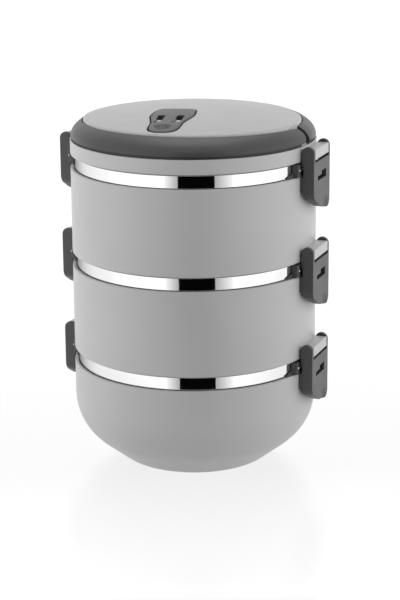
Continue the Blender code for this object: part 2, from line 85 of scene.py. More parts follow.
PIVOT_Y = sum(corner.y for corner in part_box("handle_pin_right")) / 2
PIVOT_Z = sum(corner.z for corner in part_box("handle_pin_right")) / 2
VENT_HINGE = sum(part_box("vent_hinge_pin"), Vector()) / 2

# ---- the rest of the sizes, as the CAD has them unless a comment says otherwise ----
GAP = 0.35 * MM
SHELL_WALL = 2.0 * MM
BAND_R = 67.9 * MM
STEEL = 0.8 * MM
BOWL_R = 67.5 * MM
RIM_LIP_R = 65.4 * MM
NEST_R = 64.8 * MM
NEST_WALL = 2.0 * MM
TIER_NEST = 9.5 * MM
LID_NEST = 5.0 * MM
FLANGE_LOW = 1.8 * MM
FLANGE_HIGH = 3.6 * MM
# belly of the bottom tier: an arc from the wall, a straight slope and a small arc to the foot
BASE_ARC_R = 33.3 * MM
BASE_ARC_TURN = math.radians(52)
BASE_ARC_Z = 39.1 * MM
BASE_SLOPE = 17.0 * MM
LID_SKIRT = 9.0 * MM
REBATE_Z = JOINTS["top"] + LID_SKIRT
DOME_DROP = 0.923
CAP_EDGE_Z = 199.0 * MM
CAP_EDGE_WIDTH = 1.3 * MM                  # rounded edge, where the CAD has a plain bevel
# the cap's outline is the overlap of two circles: radius, and centre along Y
FRONT_ARC = (63.8 * MM, 3.6 * MM)
REAR_ARC = (62.6 * MM, -3.5 * MM)
# elliptical section of the shoulder ring
RING_CENTRE_R = 51.6 * MM
RING_SPAN_R = 18.1 * MM
RING_FOOT_Z = 190.1 * MM
RING_RISE = 11.3 * MM
EAR_R = OUTER_X - HINGE_X
LUG_HALF_WIDTH = 12.2 * MM
LUG_BELOW = 4.5 * MM
LUG_ABOVE = 1.9 * MM                       # lower than the CAD's, so the latch's ears stand over it
LUG_CORNER_R = 5.0 * MM
LATCH_POCKET = 12.6 * MM
LATCH_PLATE_TOP = 0.1 * MM
NOSE_HALF_WIDTH = 11.2 * MM
NOSE_HEIGHT = 1.55 * MM
CHEEK_INNER = 15.9 * MM
CHEEK_OUTER = 19.3 * MM
LATCH_PLATE = 2.1 * MM
LATCH_WALL_X = 70.3 * MM
PIN_R = 0.95 * MM
CATCH_PIN_R = 0.85 * MM
HANDLE_END_R = 4.6 * MM
HANDLE_PIN_R = 1.2 * MM
HANDLE_PIN_ENDS = (58.4 * MM, 65.4 * MM)
HANDLE_BORE_END = 65.8 * MM
STEAM_HOLE_R = 3.6 * MM
VENT_TILT = math.radians(12)
VENT_HINGE_V = 1.9 * MM
VENT_PLUG_V = 39.4 * MM
# windows of the flap: middle across it, half width, and both ends from its rear end
VENT_WINDOWS = [(u * MM, half * MM, start * MM, end * MM) for u, half, start, end in (
    (-5.4, 2.0, 20.4, 30.0), (-5.0, 1.6, 29.5, 36.0), (5.4, 2.0, 20.4, 30.0), (5.8, 1.6, 29.5, 36.0))]
# two dots and the thumb scoop, which only the visual has
VENT_DOTS_U = (-6.8 * MM, 3.2 * MM)
VENT_DOTS_V = 36.6 * MM
SCOOP_U = -0.8 * MM
SCOOP_V = 47.2 * MM
SCOOP_HALF_WIDTH = 5.0 * MM
SCOOP_HALF_LENGTH = 5.6 * MM
SCOOP_DEPTH = 1.9 * MM
# half width of the flap at a distance from its rear end
VENT_OUTLINE = [(v * MM, half * MM) for v, half in (
    (0.0, 8.4), (1.5, 9.9), (5.0, 10.9), (10.0, 11.5), (17.0, 11.9), (22.0, 11.6), (27.5, 10.6), (33.0, 9.4),
    (38.5, 8.5), (44.5, 8.4), (50.0, 7.9), (54.0, 6.4), (56.2, 4.2), (57.0, 2.2))]


# ---- materials ----
class Nodes:
    """Short way to write a node material."""

    def __init__(self, name):
        self.material = bpy.data.materials.new(name)
        self.material.use_nodes = True
        self.tree = self.material.node_tree
        self.shader = self.tree.nodes["Principled BSDF"]
        self.place = self.add("ShaderNodeTexCoord").outputs["Object"]

    def add(self, kind, **inputs):
        node = self.tree.nodes.new(kind)
        for key, value in inputs.items():
            self.put(node, key.replace("_", " "), value)
        return node

    def put(self, node, socket, value):
        if isinstance(value, bpy.types.NodeSocket):
            self.tree.links.new(value, node.inputs[socket])
        else:
            node.inputs[socket].default_value = value

    def stretched(self, scale):
        node = self.add("ShaderNodeMapping", Vector=self.place)
        node.inputs["Scale"].default_value = scale
        return node.outputs["Vector"]

    def noise(self, scale, detail=2.0, vector=None):
        node = self.add("ShaderNodeTexNoise", Vector=vector or self.place, Scale=scale, Detail=detail)
        return node.outputs["Fac"]

    def remap(self, value, low, high, start=0.3, end=0.7):
        node = self.add("ShaderNodeMapRange", Value=value,
                        From_Min=start, From_Max=end, To_Min=low, To_Max=high)
        return node.outputs["Result"]

    def blend(self, share, first, second):
        node = self.tree.nodes.new("ShaderNodeMix")
        node.data_type = "RGBA"
        self.put(node, 0, share)
        node.inputs[6].default_value = (*first, 1.0)
        node.inputs[7].default_value = (*second, 1.0)
        return node.outputs[2]

    def bump(self, height, distance, strength=1.0, normal=None):
        node = self.add("ShaderNodeBump", Height=height, Distance=distance, Strength=strength)
        if normal:
            self.put(node, "Normal", normal)
        return node.outputs["Normal"]


def plastic(name, colour, roughness, grain=0.02 * MM, grain_scale=1500.0, mottle=0.03, specular=0.5):
    """Moulded plastic: fine spark-eroded grain, a slow waviness, and a slight drift of tone and gloss."""
    made = Nodes(name)
    shader = made.shader
    slow = made.noise(22.0, 3.0)
    fine = made.noise(grain_scale, 2.0)
    light = [min(1.0, c * (1 + mottle)) for c in colour]
    dark = [c * (1 - mottle) for c in colour]
    made.put(shader, "Base Color", made.blend(made.remap(slow, 0.0, 1.0), dark, light))
    made.put(shader, "Roughness", made.remap(made.noise(70.0, 3.0), roughness - 0.04, roughness + 0.04))
    wave = made.bump(made.noise(45.0, 1.0), 0.06 * MM)
    made.put(shader, "Normal", made.bump(fine, grain, 1.0, wave))
    shader.inputs["Specular IOR Level"].default_value = specular
    return made.material


def steel(name, colour, roughness, spread, line_depth, line_scale, stretch, edge_tint=1.0):
    """Steel with the fine lines of its polishing, which run along the axes with the least stretch.

    At a very low angle it dims towards edge_tint.
    """
    made = Nodes(name)
    shader = made.shader
    lines = made.noise(line_scale, 3.0, made.stretched(stretch))
    cloud = made.noise(35.0, 3.0)
    dark = [c * 0.94 for c in colour]
    made.put(shader, "Base Color", made.blend(made.remap(cloud, 0.0, 1.0), dark, colour))
    made.put(shader, "Roughness", made.remap(lines, roughness - spread, roughness + spread))
    made.put(shader, "Normal", made.bump(lines, line_depth))
    shader.inputs["Metallic"].default_value = 1.0
    shader.inputs["Specular Tint"].default_value = (edge_tint, edge_tint, edge_tint, 1.0)
    return made.material


SHELL = plastic("satin_grey_plastic", (0.485, 0.485, 0.490), 0.42)
DARK = plastic("dark_grained_plastic", (0.050, 0.050, 0.052), 0.42,
               grain=0.03 * MM, grain_scale=1100.0, mottle=0.05)
LINER = plastic("pale_liner_plastic", (0.66, 0.66, 0.65), 0.45)
SILICONE = plastic("milky_silicone", (0.56, 0.56, 0.55), 0.58,
                   grain=0.01 * MM, mottle=0.02, specular=0.4)
MIRROR = steel("mirror_polished_steel", (0.90, 0.90, 0.905), 0.045,
               0.015, 0.0015 * MM, 5.0, (6.0, 6.0, 420.0), edge_tint=0.35)
SATIN = steel("satin_spun_steel", (0.78, 0.78, 0.785), 0.24,
              0.07, 0.006 * MM, 6.0, (5.0, 5.0, 500.0))
PIN = steel("drawn_steel", (0.80, 0.80, 0.81), 0.17,
            0.05, 0.003 * MM, 9.0, (60.0, 8.0, 60.0))


# ---- mesh helpers ----
def add_object(name, bm):
    bmesh.ops.recalc_face_normals(bm, faces=bm.faces[:])
    mesh = bpy.data.meshes.new(name)
    bm.to_mesh(mesh)
    bm.free()
    made = bpy.data.objects.new(name, mesh)
    bpy.context.scene.collection.objects.link(made)
    return made


def apply_modifiers(obj):
    bpy.context.view_layer.update()
    graph = bpy.context.evaluated_depsgraph_get()
    final = bpy.data.meshes.new_from_object(obj.evaluated_get(graph))
    obj.modifiers.clear()
    obj.data = final


def combine(obj, tool, operation):
    modifier = obj.modifiers.new(operation, "BOOLEAN")
    modifier.operation = operation
    modifier.solver = "EXACT"
    modifier.object = tool
    apply_modifiers(obj)
    bpy.data.objects.remove(tool, do_unlink=True)


def cut(obj, tool):
    combine(obj, tool, "DIFFERENCE")


def join(obj, tool):
    combine(obj, tool, "UNION")


def keep_inside(obj, tool):
    combine(obj, tool, "INTERSECT")


def bevel(obj, width, segments=3, angle=40):
    modifier = obj.modifiers.new("bevel", "BEVEL")
    modifier.width = width
    modifier.segments = segments
    modifier.limit_method = "ANGLE"
    modifier.angle_limit = math.radians(angle)
    modifier.use_clamp_overlap = True
    apply_modifiers(obj)


def smooth(obj, angle=38):
    """Smooth shading that keeps real edges, with the normals of the large faces kept straight."""
    obj.data.shade_smooth()
    obj.data.set_sharp_from_angle(angle=math.radians(angle))
    modifier = obj.modifiers.new("normals", "WEIGHTED_NORMAL")
    modifier.keep_sharp = True
    modifier.weight = 90
    apply_modifiers(obj)


def take_mesh(obj):
    """Smooth an object and keep only its mesh, to be placed more than once."""
    smooth(obj)
    mesh = obj.data
    bpy.data.objects.remove(obj, do_unlink=True)
    return mesh


def finish(obj, node, slot, *materials):
    """Make obj the piece that is shown for a CAD node."""
    for material in materials:
        obj.data.materials.append(material)
    obj.name = node + "_fine"
    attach(obj, frame["nodes"][node]["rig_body"])
    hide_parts(node)
    return obj


def rounded(corners, steps=4):
    """Closed outline with rounded corners. A corner is (a, b) or (a, b, radius)."""
    points = []
    count = len(corners)
    for i, corner in enumerate(corners):
        here = Vector(corner[:2])
        if len(corner) < 3:
            points.append(tuple(here))
            continue
        radius = corner[2]
        before = (Vector(corners[i - 1][:2]) - here).normalized()
        after = (Vector(corners[(i + 1) % count][:2]) - here).normalized()
        half = before.angle(after) / 2
        centre = here + (before + after).normalized() * radius / math.sin(half)
        first = here + before * radius / math.tan(half) - centre
        last = here + after * radius / math.tan(half) - centre
        start = math.atan2(first.y, first.x)
        turn = (math.atan2(last.y, last.x) - start + math.pi) % TAU - math.pi
        for step in range(steps + 1):
            angle = start + turn * step / steps
            points.append((centre.x + radius * math.cos(angle), centre.y + radius * math.sin(angle)))
    return points


def lathe(name, outline, start=0.0, sweep=TAU, steps=ROUND):
    """Turn a closed (r, z) outline round Z. A point may be a function of the angle that gives (r, z)."""
    whole = sweep > TAU - 1e-6
    count = steps if whole else steps + 1
    bm = bmesh.new()
    rings = []
    for point in outline:
        ring = []
        for step in range(count):
            angle = start + sweep * step / steps
            r, z = point(angle) if callable(point) else point
            if r < 1e-9:
                ring = [bm.verts.new((0.0, 0.0, z))] * count
                break
            ring.append(bm.verts.new((r * math.cos(angle), r * math.sin(angle), z)))
        rings.append(ring)
    for first, second in zip(rings, rings[1:] + rings[:1]):
        for step in range(steps):
            after = (step + 1) % count
            corners = list(dict.fromkeys([first[step], first[after], second[after], second[step]]))
            if len(corners) > 2:
                bm.faces.new(corners)
    if not whole:
        bm.faces.new([ring[0] for ring in rings])
        bm.faces.new([ring[-1] for ring in reversed(rings)])
    return add_object(name, bm)


def inset_outline(outline, distance):
    """Move every side of a closed outline inwards."""
    area = sum(a[0] * b[1] - b[0] * a[1] for a, b in zip(outline, outline[1:] + outline[:1]))
    sign = 1.0 if area > 0 else -1.0
    moved = []
    for i, point in enumerate(outline):
        here = Vector(point)
        one = (here - Vector(outline[i - 1])).normalized()
        two = (Vector(outline[(i + 1) % len(outline)]) - here).normalized()
        first = Vector((-one.y, one.x)) * sign
        second = Vector((-two.y, two.x)) * sign
        moved.append(tuple(here + (first + second) * distance / (1 + first.dot(second))))
    return moved


def prism(outline, low, high, axis, edge=0.0, steps=3):
    """Extrude an outline along an axis, with the edges of both ends rounded by edge."""
    def place(a, b, t):
        return {"X": (t, a, b), "Y": (a, t, b), "Z": (a, b, t)}[axis]
    levels = [(low, 0.0), (high, 0.0)]
    if edge:
        turns = [math.pi / 2 * step / steps for step in range(steps + 1)]
        insets = [(edge * (1 - math.sin(turn)), edge * (1 - math.cos(turn))) for turn in turns]
        levels = [(low + along, inset) for along, inset in reversed(insets)]
        levels += [(high - along, inset) for along, inset in insets]
    bm = bmesh.new()
    rings = []
    for t, inset in levels:
        points = inset_outline(outline, inset) if inset else outline
        rings.append([bm.verts.new(place(a, b, t)) for a, b in points])
    count = len(outline)
    for first, second in zip(rings, rings[1:]):
        for i in range(count):
            j = (i + 1) % count
            bm.faces.new((first[i], first[j], second[j], second[i]))
    bm.faces.new(rings[0])
    bm.faces.new(rings[-1])
    return add_object("prism", bm)


def box(low, high, edge=0.0):
    outline = [(low[0], low[1]), (high[0], low[1]), (high[0], high[1]), (low[0], high[1])]
    return prism(outline, low[2], high[2], "Z", edge)


def arc(cx, cy, radius, start, end, steps):
    points = []
    for step in range(steps + 1):
        angle = math.radians(start + (end - start) * step / steps)
        points.append((cx + radius * math.cos(angle), cy + radius * math.sin(angle)))
    return points


def rod(centre, radius, low, high, axis, edge=0.0, steps=28):
    outline = arc(centre[0], centre[1], radius, 0, 360 * (steps - 1) / steps, steps - 1)
    return prism(outline, low, high, axis, edge)


def side_rod(side_sign, radius, near, far, edge=0.0):
    """Round bar on the handle's pivot axis, between two distances from the middle, on one side."""
    low, high = sorted((side_sign * near, side_sign * far))
    return rod((PIVOT_Y, PIVOT_Z), radius, low, high, "X", edge)


def both_sides(make, obj, operation):
    """Use a tool on the right-hand side of obj, and the same tool turned to the left-hand side."""
    for angle in SIDES.values():
        tool = make()
        tool.data.transform(Matrix.Rotation(angle, 4, "Z"))
        operation(obj, tool)


# ---- tiers ----
def base_outline(inset):
    """The bottom shell's outline, moved inwards by inset, from the wall's foot to the flat foot."""
    centre_r = SHELL_R - BASE_ARC_R
    turn = BASE_ARC_TURN
    points = arc(centre_r, BASE_ARC_Z, BASE_ARC_R - inset, 0, -math.degrees(turn), 22)
    slope_end_z = BASE_ARC_Z - BASE_ARC_R * math.sin(turn) - BASE_SLOPE * math.cos(turn)
    foot_r = slope_end_z / (1 - math.sin(turn))
    slope_end_r = centre_r + BASE_ARC_R * math.cos(turn) - BASE_SLOPE * math.sin(turn)
    foot_centre = (slope_end_r - foot_r * math.cos(turn), foot_r)
    return points + arc(foot_centre[0], foot_centre[1], foot_r - inset, -math.degrees(turn), -90, 9)


def outer_shell_bottom():
    top = JOINTS["low"] - BAND_HEIGHT
    inner = SHELL_R - SHELL_WALL
    rim = rounded([
        (inner, top - 3 * MM), (inner, top, 0.5 * MM),
        (SHELL_R, top, 0.6 * MM), (SHELL_R, top - 3 * MM)])
    profile = rim + base_outline(0.0) + [(0.0, 0.0), (0.0, SHELL_WALL)] + base_outline(SHELL_WALL)[::-1]
    shell = lathe("shell", profile)
    smooth(shell)
    finish(shell, "outer_shell_1", "shell_plastic", SHELL)


def add_lugs(shell, joint_z):
    """Knuckles that the latches hang from, with a bore for the hinge pin."""
    x, z = HINGE_X, joint_z + HINGE_Z
    under = math.degrees(math.asin(LUG_BELOW / LUG_CORNER_R))
    front = math.degrees(math.acos(EAR_R / LUG_CORNER_R))
    root_x = SHELL_R - 0.7 * SHELL_WALL
    outline = [(root_x, z - LUG_BELOW)] + arc(x, z, LUG_CORNER_R, -under, -front, 6)
    outline += rounded([(x + EAR_R, z), (x + EAR_R, z + LUG_ABOVE, 0.6 * MM), (root_x, z + LUG_ABOVE)], 5)[1:]
    both_sides(lambda: prism(outline, -LUG_HALF_WIDTH, LUG_HALF_WIDTH, "Y", 0.35 * MM), shell, join)
    reach = LUG_HALF_WIDTH + 1.0 * MM
    both_sides(lambda: rod((x, z), PIN_R + GAP, -reach, reach, "Y"), shell, cut)


def outer_shell_upper(tier, joint_z):
    top = joint_z + TIER_PITCH - BAND_HEIGHT
    inner = SHELL_R - SHELL_WALL
    shell = lathe("shell", rounded([
        (SHELL_R, top, 0.6 * MM), (SHELL_R, joint_z, 0.8 * MM),
        (inner, joint_z, 0.4 * MM), (inner, top, 0.4 * MM)]))
    add_lugs(shell, joint_z)
    smooth(shell)
    finish(shell, f"outer_shell_{tier}", "shell_plastic", SHELL)


def neck(top):
    """Polished neck with its rolled rim: the outside going down, and the inside going up."""
    foot = top - BAND_HEIGHT
    rim = top - GAP
    outside = rounded([
        (RIM_LIP_R, rim - STEEL, 0.35 * MM), (RIM_LIP_R, rim, 0.35 * MM), (BAND_R, rim, 0.75 * MM),
        (BAND_R, foot + 0.3 * MM, 0.3 * MM), (BOWL_R, foot - 0.3 * MM, 0.3 * MM),
        (BOWL_R, foot - 3 * MM)])[:-1]
    inside = [(BOWL_R - STEEL, foot - 0.3 * MM - STEEL), (BAND_R - STEEL, foot + 0.3 * MM),
              (BAND_R - STEEL, rim - STEEL)]
    return outside, inside


def finish_bowl(bowl, node, middle):
    """The outside is mirror polished, and the inside has a satin spun finish."""
    smooth(bowl)
    finish(bowl, node, "polished_steel", MIRROR, SATIN)
    for face in bowl.data.polygons:
        outwards = face.normal.x * face.center.x + face.normal.y * face.center.y
        away = face.normal.z * (face.center.z - middle)
        if outwards + away < 0:
            face.material_index = 1


def steel_bowl_bottom():
    inset = SHELL_R - BOWL_R
    outside, inside = neck(JOINTS["low"])
    profile = outside + base_outline(inset) + [(0.0, inset), (0.0, inset + STEEL)]
    profile += base_outline(inset + STEEL)[::-1] + inside
    finish_bowl(lathe("bowl", profile), "steel_bowl_1", JOINTS["low"] / 2)


def steel_bowl_upper(tier, joint_z):
    foot_r = NEST_R - NEST_WALL - GAP
    foot_z = joint_z - TIER_NEST + NEST_WALL + GAP
    corner = 9.0 * MM

    def wall(inset):
        points = rounded([
            (BOWL_R - inset, joint_z + TIER_PITCH / 2), (BOWL_R - inset, joint_z + 13.0 * MM, 6.0 * MM),
            (foot_r - inset, joint_z + FLANGE_HIGH, 4.0 * MM), (foot_r - inset, foot_z + corner)], 6)
        points += arc(foot_r - corner, foot_z + corner, corner - inset, 0, -90, 10)[1:]
        return points + [(0.0, foot_z + inset)]

    outside, inside = neck(joint_z + TIER_PITCH)
    profile = outside + wall(0.0) + wall(STEEL)[::-1] + inside
    finish_bowl(lathe("bowl", profile), f"steel_bowl_{tier}", joint_z + TIER_PITCH / 2)


def nesting_pan(joint_z, depth):
    flange_r = SHELL_R - SHELL_WALL - GAP
    inner = NEST_R - NEST_WALL
    floor = joint_z - depth
    return lathe("pan", rounded([
        (flange_r, joint_z + FLANGE_HIGH, 0.4 * MM), (flange_r, joint_z + FLANGE_LOW, 0.4 * MM),
        (NEST_R, joint_z + FLANGE_LOW, 0.3 * MM), (NEST_R, floor, 2.2 * MM),
        (0.0, floor), (0.0, floor + NEST_WALL),
        (inner, floor + NEST_WALL, 0.8 * MM), (inner, joint_z + FLANGE_HIGH, 0.4 * MM)], 5))


def base_cover(tier, joint_z):
    cover = nesting_pan(joint_z, TIER_NEST)
    smooth(cover)
    finish(cover, f"base_cover_{tier}", "liner_plastic", LINER)


def seal_ring(node, joint_z):
    """Sealing ring: a soft rounded section with a lip groove round its lower face."""
    outer = SHELL_R - SHELL_WALL - GAP
    inner = NEST_R + GAP
    top = joint_z + FLANGE_LOW - GAP
    middle = (outer + inner) / 2
    ring = lathe("seal", rounded([
        (outer, top, 0.3 * MM), (outer, joint_z, 0.45 * MM), (middle + 0.4 * MM, joint_z, 0.2 * MM),
        (middle, joint_z + 0.4 * MM, 0.15 * MM), (middle - 0.4 * MM, joint_z, 0.2 * MM),
        (inner, joint_z, 0.45 * MM), (inner, top, 0.3 * MM)], 3))
    smooth(ring)
    finish(ring, node, "silicone", SILICONE)


# ---- latches, in their hinge's frame, for the right-hand side ----
def latch_mesh():
    """The latch's foot is cut back on its near side, so the left-hand one is its mirror image."""
    top = -HINGE_Z                          # joint plane seen from the hinge
    inner_x = -EAR_R
    outer_x = EAR_R
    wall_x = LATCH_WALL_X - HINGE_X
    plate_x = outer_x - LATCH_PLATE
    foot = top - LATCH_FOOT
    half = LATCH_HALF_WIDTH
    far = 20 * MM                           # well outside the latch

    side = [(wall_x, top - 19.0 * MM), (wall_x, top - 2.2 * MM), (inner_x, top - 2.2 * MM)]
    side += arc(0.0, 0.0, EAR_R, 180, 0, 18)
    side += [(outer_x, foot - 2.6 * MM), (inner_x + 4.7 * MM, foot - 2.6 * MM)]
    body = prism(side, -half, half, "Y")
    face = rounded([
        (half, far), (-half, far), (-half, foot + 8.4 * MM, 6.0 * MM),
        (-3.0 * MM, foot + 1.6 * MM, 30.0 * MM), (half, foot - 2.3 * MM, 4.5 * MM)], 10)
    keep_inside(body, prism(face, -far, far, "X"))
    bevel(body, 0.5 * MM)

    # pocket behind the face plate, open to the body, and the opening above the plate for the knuckle
    cut(body, box((-far, -LATCH_POCKET, top - 20 * MM), (plate_x, LATCH_POCKET, far)))
    cut(body, box((plate_x - 1 * MM, -LATCH_POCKET, top + LATCH_PLATE_TOP), (far, LATCH_POCKET, far)))
    add_latch_inside(body, top, plate_x, wall_x)

    # window with a step in its upper near corner
    cut(body, box((plate_x - 1 * MM, -7.6 * MM, top - 10.9 * MM), (far, 7.6 * MM, top - 8.4 * MM)))
    cut(body, box((plate_x - 1 * MM, -0.6 * MM, top - 9.0 * MM), (far, 7.6 * MM, top - 6.3 * MM)))
    # shallow dish for the thumb
    dish_r = 20.0 * MM
    bm = bmesh.new()
    bmesh.ops.create_uvsphere(bm, u_segments=96, v_segments=64, radius=dish_r)
    dish = add_object("dish", bm)
    dish.data.transform(Matrix.Translation((outer_x + dish_r - 1.0 * MM, 6.0 * MM, top - 27.6 * MM)))
    cut(body, dish)
    bore = half - 0.8 * MM
    cut(body, rod((0.0, 0.0), PIN_R + GAP, -bore, bore, "Y"))
    return take_mesh(body)


def add_latch_inside(body, top, plate_x, wall_x):
    """Nose for the catch pin, lips along the side walls, and the wall behind the window."""
    nose_top = top + CATCH_Z - CATCH_PIN_R - 0.3 * MM
    nose_tip = CATCH_X - HINGE_X - 0.5 * MM
    nose_y = NOSE_HALF_WIDTH
    join(body, box((nose_tip, -nose_y, nose_top - NOSE_HEIGHT),
                   (plate_x + 0.5 * MM, nose_y, nose_top), 0.2 * MM))
    # the lips reach close to the shell
    lip_near, lip_far = 12.8 * MM, 14.6 * MM
    lip = []
    for y in (lip_near, lip_far):
        lip.append((math.sqrt(SHELL_R ** 2 - y ** 2) - HINGE_X + 0.3 * MM, y))
    lip += [(wall_x + 0.6 * MM, lip_far), (wall_x + 0.6 * MM, lip_near)]
    for side_sign in (1, -1):
        outline = [(x, side_sign * y) for x, y in lip]
        join(body, prism(outline, top - 17.0 * MM, top - 8.2 * MM, "Z", 0.15 * MM))
    # this wall keeps the window dark
    wall_y = LATCH_POCKET + 0.5 * MM
    join(body, box((wall_x, -wall_y, top - 13.0 * MM), (wall_x + 0.8 * MM, wall_y, nose_top - 1.0 * MM)))


def bracket_mesh():
    """Catch bracket on the steel band, for a joint plane at z = 0, with a low wedge out from each end."""
    inner = BAND_R + GAP
    outer = inner + 0.7 * MM
    cheek_x = CATCH_X + 0.35 * MM
    corner = 1.2 * MM
    low = GAP - BAND_HEIGHT
    end = math.degrees(math.asin(CHEEK_OUTER / inner))
    turn_in = math.degrees(math.asin(CHEEK_INNER / outer))
    outline = arc(0.0, 0.0, inner, -end, end, 24)
    outline += rounded([
        outline[-1], (cheek_x, CHEEK_OUTER, corner), (cheek_x, CHEEK_INNER), (0.0, 0.0)], 5)[1:-1]
    outline += arc(0.0, 0.0, outer, turn_in, -turn_in, 20)
    outline += rounded([
        (0.0, 0.0), (cheek_x, -CHEEK_INNER), (cheek_x, -CHEEK_OUTER, corner), outline[0]], 5)[1:-1]
    body = prism(outline, low, -0.6 * MM, "Z", 0.12 * MM)

    wedge_start = math.radians(end - 2.0)
    wedge_sweep = math.radians(6.2)
    wedge_high = -4.2 * MM
    wedge_low = low + 0.25 * MM

    def wedge_top(angle):
        share = (abs(angle) - wedge_start) / wedge_sweep
        return wedge_high + share * (wedge_low - wedge_high)

    for side_sign in (1, -1):
        join(body, lathe("wedge", [
            (inner, low), (outer, low),
            lambda angle: (outer, wedge_top(angle)), lambda angle: (inner, wedge_top(angle))],
            side_sign * wedge_start, side_sign * wedge_sweep, 12))
    window = NOSE_HALF_WIDTH + 0.6 * MM
    cut(body, box((60 * MM, -window, -20 * MM), (80 * MM, window, -2.0 * MM)))
    reach = CHEEK_OUTER - 0.8 * MM
    cut(body, rod((CATCH_X, CATCH_Z), CATCH_PIN_R + 0.3 * MM, -reach, reach, "Y"))
    return take_mesh(body)


def place_copy(node, slot, mesh, material, place, angle, mirror=False):
    """Show a copy of a right-hand mesh for a node, turned to its side, and mirrored if asked."""
    made = bpy.data.objects.new(node, mesh.copy())
    if mirror:
        made.data.transform(Matrix.Scale(-1, 4, (0.0, 1.0, 0.0)))
        made.data.flip_normals()
    bpy.context.scene.collection.objects.link(made)
    made.matrix_world = Matrix.Rotation(angle, 4, "Z") @ Matrix.Translation(place)
    finish(made, node, slot, material)


def add_latches():
    latch = latch_mesh()
    bracket = bracket_mesh()
    pins = {}
    for name, radius in (("hinge", PIN_R), ("catch", CATCH_PIN_R)):
        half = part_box(f"{name}_pin_top_right")[1].y
        pins[name] = take_mesh(rod((0.0, 0.0), radius, -half, half, "Y", 0.25 * MM))
    for level, joint_z in JOINTS.items():
        for side, angle in SIDES.items():
            tag = f"{level}_{side}"
            hinge = (HINGE_X, 0.0, joint_z + HINGE_Z)
            catch = (CATCH_X, 0.0, joint_z + CATCH_Z)
            place_copy(f"latch_{tag}", "dark_plastic", latch, DARK, hinge, angle, side == "left")
            place_copy(f"hinge_pin_{tag}", "steel_pin", pins["hinge"], PIN, hinge, angle)
            place_copy(f"catch_bracket_{tag}", "dark_plastic", bracket, DARK, (0.0, 0.0, joint_z), angle)
            place_copy(f"catch_pin_{tag}", "steel_pin", pins["catch"], PIN, catch, angle)


# ---- lid ----
def circle_reach(circle, angle):
    radius, centre_y = circle
    across = centre_y * math.cos(angle)
    return centre_y * math.sin(angle) + math.sqrt(radius * radius - across * across)


def cap_reach(angle):
    return min(circle_reach(FRONT_ARC, angle), circle_reach(REAR_ARC, angle))


def dome(r):
    return DOME_TOP - DOME_DROP * r * r


def cap_ring(share, inset, drop):
    """Ring on the dome at a share of the cap's outline, moved in by inset and down by drop."""
    def point(angle):
        r = share * (cap_reach(angle) - inset)
        return r, dome(r) - drop
    return point


def cap_level(inset, z):
    return lambda angle: (cap_reach(angle) - inset, z)


def cap_edge(share):
    """Rounded edge of the cap, from the dome at share 0 to its upright side at share 1."""
    def point(angle):
        reach = cap_reach(angle)
        start_z = dome(reach - CAP_EDGE_WIDTH)
        turn = share * math.pi / 2
        drop = (start_z - CAP_EDGE_Z + 0.3 * MM) * (1 - math.cos(turn))
        return reach - CAP_EDGE_WIDTH * (1 - math.sin(turn)), start_z - drop
    return point


def lid_shell():
    skirt_inner = SHELL_R - SHELL_WALL
    floor_inner = 57.5 * MM
    floor_low = REBATE_Z - SHELL_WALL
    lip_z = REBATE_Z - 0.6 * MM
    groove_z = REBATE_Z - 1.2 * MM
    shell = lathe("lid", rounded([
        (SHELL_R, lip_z, 0.35 * MM), (SHELL_R, JOINTS["top"], 0.8 * MM),
        (skirt_inner, JOINTS["top"], 0.5 * MM), (skirt_inner, floor_low, 0.6 * MM),
        (floor_inner, floor_low), (floor_inner, REBATE_Z), (SHELL_R - 2.6 * MM, REBATE_Z),
        (SHELL_R - 2.2 * MM, groove_z), (SHELL_R - 0.9 * MM, groove_z, 0.2 * MM),
        (SHELL_R - 0.7 * MM, lip_z, 0.15 * MM)]))
    shares = [0.1, 0.25, 0.4, 0.55, 0.7, 0.82, 0.92, 0.97]
    cap_foot = REBATE_Z - 0.9 * MM
    cap = [(0.0, dome(0.0))] + [cap_ring(share, CAP_EDGE_WIDTH, 0.0) for share in shares]
    cap += [cap_edge(step / 5) for step in range(6)]
    cap += [cap_level(0.0, cap_foot), cap_level(SHELL_WALL, cap_foot)]
    cap += [cap_level(SHELL_WALL, CAP_EDGE_Z - 1.6 * MM)]
    cap += [cap_ring(share, SHELL_WALL, SHELL_WALL) for share in reversed(shares)]
    cap += [(0.0, dome(0.0) - SHELL_WALL)]
    join(shell, lathe("cap", cap))
    add_lugs(shell, JOINTS["top"])

    # flats that the handle's ends turn against, and the bores of its pins
    flat = [(61.4, -17.0), (61.4, -4.9), (62.9, -1.6), (68.0, -1.6), (68.0, -17.0)]
    for side_sign in (1, -1):
        outline = [(side_sign * x * MM, y * MM) for x, y in flat]
        cut(shell, prism(outline, REBATE_Z + 0.1 * MM, DOME_TOP, "Z"))
    for side_sign in (1, -1):
        cut(shell, side_rod(side_sign, HANDLE_PIN_R + GAP, 57.0 * MM, HANDLE_BORE_END))

    # recess of the vent flap with its floor, the hinge's bore and the steam hole
    join(shell, vent_slab(2.4 * MM, -5.1 * MM, -1.0 * MM))
    cut(shell, vent_slab(0.9 * MM, -3.5 * MM, 3.0 * MM))
    cut(shell, vent_rod(PIN_R, 11.3 * MM))
    plug = vent_place(0.0, VENT_PLUG_V)
    cut(shell, rod((plug.x, plug.y), STEAM_HOLE_R, JOINTS["top"] + 10 * MM, DOME_TOP, "Z"))
    # two small posts that stand in the front of the flap's windows
    for u, half, _, end in (VENT_WINDOWS[1], VENT_WINDOWS[3]):
        width = half - 0.3 * MM
        post = box((-width, -2.2 * MM, -4.2 * MM), (width, 2.2 * MM, 0.3 * MM), 0.25 * MM)
        centre = vent_place(u, end - 2.5 * MM)
        post.data.transform(vent_turn(centre.x, centre.y, dome(centre.xy.length)))
        join(shell, post)
    smooth(shell)
    finish(shell, "lid_shell", "shell_plastic", SHELL)


